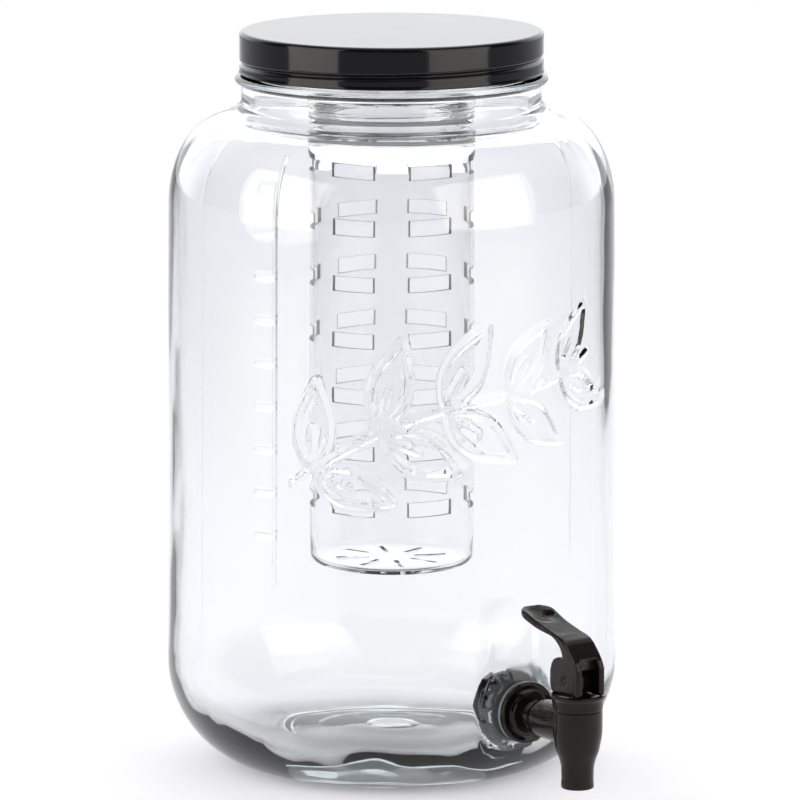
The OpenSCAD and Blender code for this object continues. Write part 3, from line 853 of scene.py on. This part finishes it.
inlet = outward(turned(
    [(0, shank_end), (shank_r - 1.4, shank_end), (shank_r - 0.7, shank_end + 0.7),
        (shank_r - 0.7, flange_q - 0.01),
     (flange_r - 0.5, flange_q - 0.01), (flange_r, flange_q + 0.5)]
    + arc(flange_r - 1, flange_q + 2.2, 1, 1.1, 0, 120, 6)
    + smooth_run([(flange_r - 2.1, flange_q + 2.8), (flange_r - 3.4, flange_q + 2.15),
                  (11, flange_q + 2.15), (9.9, flange_q + 2.6), (9.1, flange_q + 3.5), (8.8, flange_q + 5),
                  (8.5, flange_q + 13.6)], 4)
    + [(8.5, flange_q + 14), (9.0, flange_q + 14.4), (9.2, flange_q + 14.9), (9.3, flange_q + 18),
       (9.3, barrel_q),
       (0, barrel_q)], fine))


def screwed(r, z, a):
    """The fine thread along the shank."""
    turn_now = (z - shank_end - 1.2) / 2.6 - a / 360
    crest = np.abs(turn_now % 1 - 0.5) * 2
    on = (z > shank_end + 1.2) & (z < flange_q - 1.2) & (r > 5)
    t = np.radians(a)
    r = r + np.where(on, 0.7 * soft(crest, 0.25, 0.75), 0)
    return r * np.cos(t), r * np.sin(t), z


shank = outward(turned(
    [(0, shank_end + 0.3), (shank_r - 0.9, shank_end + 0.3)]
    + line((shank_r - 0.7, shank_end + 1), (shank_r - 0.7, flange_q - 0.6), 0.36)
    + [(shank_r - 0.7, flange_q + 1), (0, flange_q + 1)], fine, screwed))
bore = outward(turned([(0, shank_end - 2), (way_r, shank_end - 2), (way_r, barrel_q), (0, barrel_q)], fine))
drop = at_barrel(turned(
    [(0, spout_z - 1), (way_r, spout_z - 1), (way_r, seam_z + 1), (0, seam_z + 1)],
    fine + 1,
))
chamber = at_barrel(turned(
    [(0, seat_z), (chamber_r, seat_z), (chamber_r, seam_z + 2), (0, seam_z + 2)],
    fine + 0.5,
))
body_mesh = joined(joined(barrel, "UNION", inlet), "UNION", shank)
for tool_mesh in (bore, drop, chamber):
    body_mesh = joined(body_mesh, "DIFFERENCE", tool_mesh)
tap_body = finished("tap_body_moulding", body_mesh, plastic, 38)
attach(tap_body, "dispenser")
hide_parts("tap_body")

# The bonnet is a turned cap in the same plastic. It screws down on the barrel and leaves
# a fine seam, and the stem passes through its crown.
cavity_z = bonnet_z - 3.5
bonnet_outline = (
    [(5.4, seam_z - 3), (chamber_r - 0.05, seam_z - 3), (chamber_r - 0.05, seam_z + 0.05),
        (barrel_r - 0.35, seam_z + 0.05),
     (barrel_r, seam_z + 0.4)]
    + smooth_run([(barrel_r + 0.1, seam_z + 0.9), (barrel_r + 0.2, seam_z + 2.5),
        (barrel_r + 0.5, seam_z + 4.4),
                  (barrel_r + 0.95, seam_z + 5.6), (rim_r - 0.15, seam_z + 6.3)], 4)
    + arc(rim_r - 0.4, bonnet_z - 0.8, 0.4, 0.4, -30, 0, 2)
    + arc(rim_r - 0.5, bonnet_z - 0.5, 0.5, 0.5, 0, 90, 4)
    + [(rim_r - 2.4, bonnet_z), (rim_r - 2.8, bonnet_z - 0.25), (6, bonnet_z - 0.25), (5.4, bonnet_z),
       (2.7, bonnet_z),
       (2.4, bonnet_z - 0.3), (2.3, cavity_z), (5.4, cavity_z)]
)
bonnet = finished("tap_bonnet_cap", at_barrel(turned(bonnet_outline, fine)), plastic, 38)
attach(bonnet, "dispenser")
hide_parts("tap_bonnet")

# ---- lever, pin and valve ----
# The lever is one moulding with soft edges: a fork with a cam on each leg and a dished
# thumb paddle that reaches back over the tube.


def merged(node):
    """A joined-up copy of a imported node's mesh."""
    work = bmesh.new()
    work.from_mesh(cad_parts[node].data)
    bmesh.ops.remove_doubles(work, verts=work.verts, dist=2e-6)
    bmesh.ops.dissolve_limit(work, angle_limit=math.radians(0.4), verts=work.verts, edges=work.edges)
    mesh = bpy.data.meshes.new(node + "_copy")
    work.to_mesh(mesh)
    work.free()
    return mesh


def eased(node, name, material, width, sharp=35):
    """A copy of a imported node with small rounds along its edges."""
    mesh = applied(merged(node), ("BEVEL", {
        "width": width * MM, "segments": 3, "limit_method": "ANGLE", "angle_limit": math.radians(35),
        "use_clamp_overlap": True}))
    return finished(name, mesh, material, sharp)


lever_mesh = applied(
    merged("tap_lever"),
    ("REMESH", {"mode": "VOXEL", "voxel_size": 0.36 * MM}),
    ("SMOOTH", {"factor": 0.5, "iterations": 22}),
)
pin_z = bonnet_z + 7.0
paddle_z = pin_z + 18
dish_back, dish_long, dish_half, dish_deep = 31.5, 9.0, 7.6, 1.7
tip_start, tip_end, tip_rise, tip_wider = 20, 37, 1.5, 0.1
for vertex in lever_mesh.vertices:
    back = vertex.co.y / MM + barrel_q
    side = vertex.co.x / MM
    off = min(1.0, math.hypot((back - dish_back) / dish_long, side / dish_half))
    vertex.co.z -= dish_deep * MM * (1 - off * off) ** 2 * (vertex.co.z / MM > paddle_z)
    tip = float(soft(back, tip_start, tip_end))
    vertex.co.z += tip_rise * MM * tip
    vertex.co.x *= 1 + tip_wider * tip
lever = finished("tap_lever_moulding", lever_mesh, plastic, 0)
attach(lever, "lever")
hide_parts("tap_lever")

metal = new_material("drawn_steel")
draw = noise(240, 2.0, (1, 1, 8))
surface(
    Base_Color=draw.blend((0.46, 0.46, 0.48, 1), (0.60, 0.60, 0.62, 1)), Metallic=1.0,
    Roughness=0.22 + 0.14 * draw,
    Normal=bump(draw, 0.06, 0.0001),
)
pin = eased("lever_pin", "lever_pin_rod", plastic, 0.3)
stem = eased("valve_stem", "valve_stem_rod", plastic, 0.25)
for piece, node, body, paint in (
    (pin, "lever_pin", "valve", "tap_black"), (stem, "valve_stem", "valve", "tap_black"),
):
    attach(piece, body)
    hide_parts(node)
valve_disc = eased("valve_seal", "valve_disc", silicone, 0.2)
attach(valve_disc, "valve")
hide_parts("valve_seal")

# The return spring is a closed coil of steel wire. Its foot sits on the stem's collar
# and its top stays under the bonnet's crown.
wire_r, coil_r, coils = 0.45, 3.9, 4.5
spring_low = seat_z + 0.8 + 3.2 + 1.5 + wire_r + 0.02
spring_high = cavity_z - wire_r - 0.02


def coiled(material):
    tree = bpy.data.node_groups.new("coil", "GeometryNodeTree")
    add, join = tree.nodes.new, tree.links.new
    sizes = {
        "Coils": coils,
        "Coil radius": coil_r * MM,
        "Height": (spring_high - spring_low) * MM,
        "Wire radius": wire_r * MM,
    }
    keys = {name: (sized(tree, name, "NodeSocketFloat", value), value) for name, value in sizes.items()}
    tree.interface.new_socket(name="Wire", in_out="OUTPUT", socket_type="NodeSocketGeometry")
    given, done = add("NodeGroupInput"), add("NodeGroupOutput")
    helix, section = add("GeometryNodeCurveSpiral"), add("GeometryNodeCurvePrimitiveCircle")
    sweep_wire = add("GeometryNodeCurveToMesh")
    helix.inputs["Resolution"].default_value = 32
    join(given.outputs["Coils"], helix.inputs["Rotations"])
    join(given.outputs["Coil radius"], helix.inputs["Start Radius"])
    join(given.outputs["Coil radius"], helix.inputs["End Radius"])
    join(given.outputs["Height"], helix.inputs["Height"])
    section.inputs["Resolution"].default_value = 12
    join(given.outputs["Wire radius"], section.inputs["Radius"])
    join(helix.outputs[0], sweep_wire.inputs["Curve"])
    join(section.outputs[0], sweep_wire.inputs["Profile Curve"])
    sweep_wire.inputs["Fill Caps"].default_value = True
    put, real = add("GeometryNodeTransform"), add("GeometryNodeRealizeInstances")
    coat = add("GeometryNodeSetMaterial")
    join(sweep_wire.outputs[0], put.inputs["Geometry"])
    put.inputs["Translation"].default_value = (0, -barrel_q * MM, spring_low * MM)
    join(put.outputs[0], real.inputs[0])
    join(real.outputs[0], coat.inputs[0])
    coat.inputs["Material"].default_value = material
    join(coat.outputs[0], done.inputs[0])
    return grown(bpy.data.meshes.new("empty"), tree, keys)


spring = finished("return_coil", coiled(metal), metal, 50)
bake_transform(spring)
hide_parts("return_spring")

# ---- shank seals and nut ----
# A soft ring outside and a thicker one inside pinch the glass, a hard slip washer
# follows, and a moulded hexagon nut draws the shank tight.
outer_ring = finished(
    "outer_ring", outward(turned(washer(hole_r, flange_r - 0.2, boss_q, flange_q, 0.5))), silicone
)
inner_ring = finished(
    "inner_ring", outward(turned(washer(hole_r, 16.4, seat_q - 2.4, seat_q, 0.6))), silicone
)
slip_ring = finished("slip_ring", outward(turned(washer(hole_r, 15.6, nut_q, nut_q + 1.2, 0.25))), plastic)
nut = eased("shank_nut", "hexagon_nut", plastic, 0.4)
for piece, node, paint in (
    (outer_ring, "outer_gasket", "soft_seal"), (inner_ring, "inner_gasket", "soft_seal"),
    (slip_ring, "slip_washer", "tap_black"), (nut, "shank_nut", "tap_black"),
):
    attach(piece, "dispenser")
    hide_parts(node)
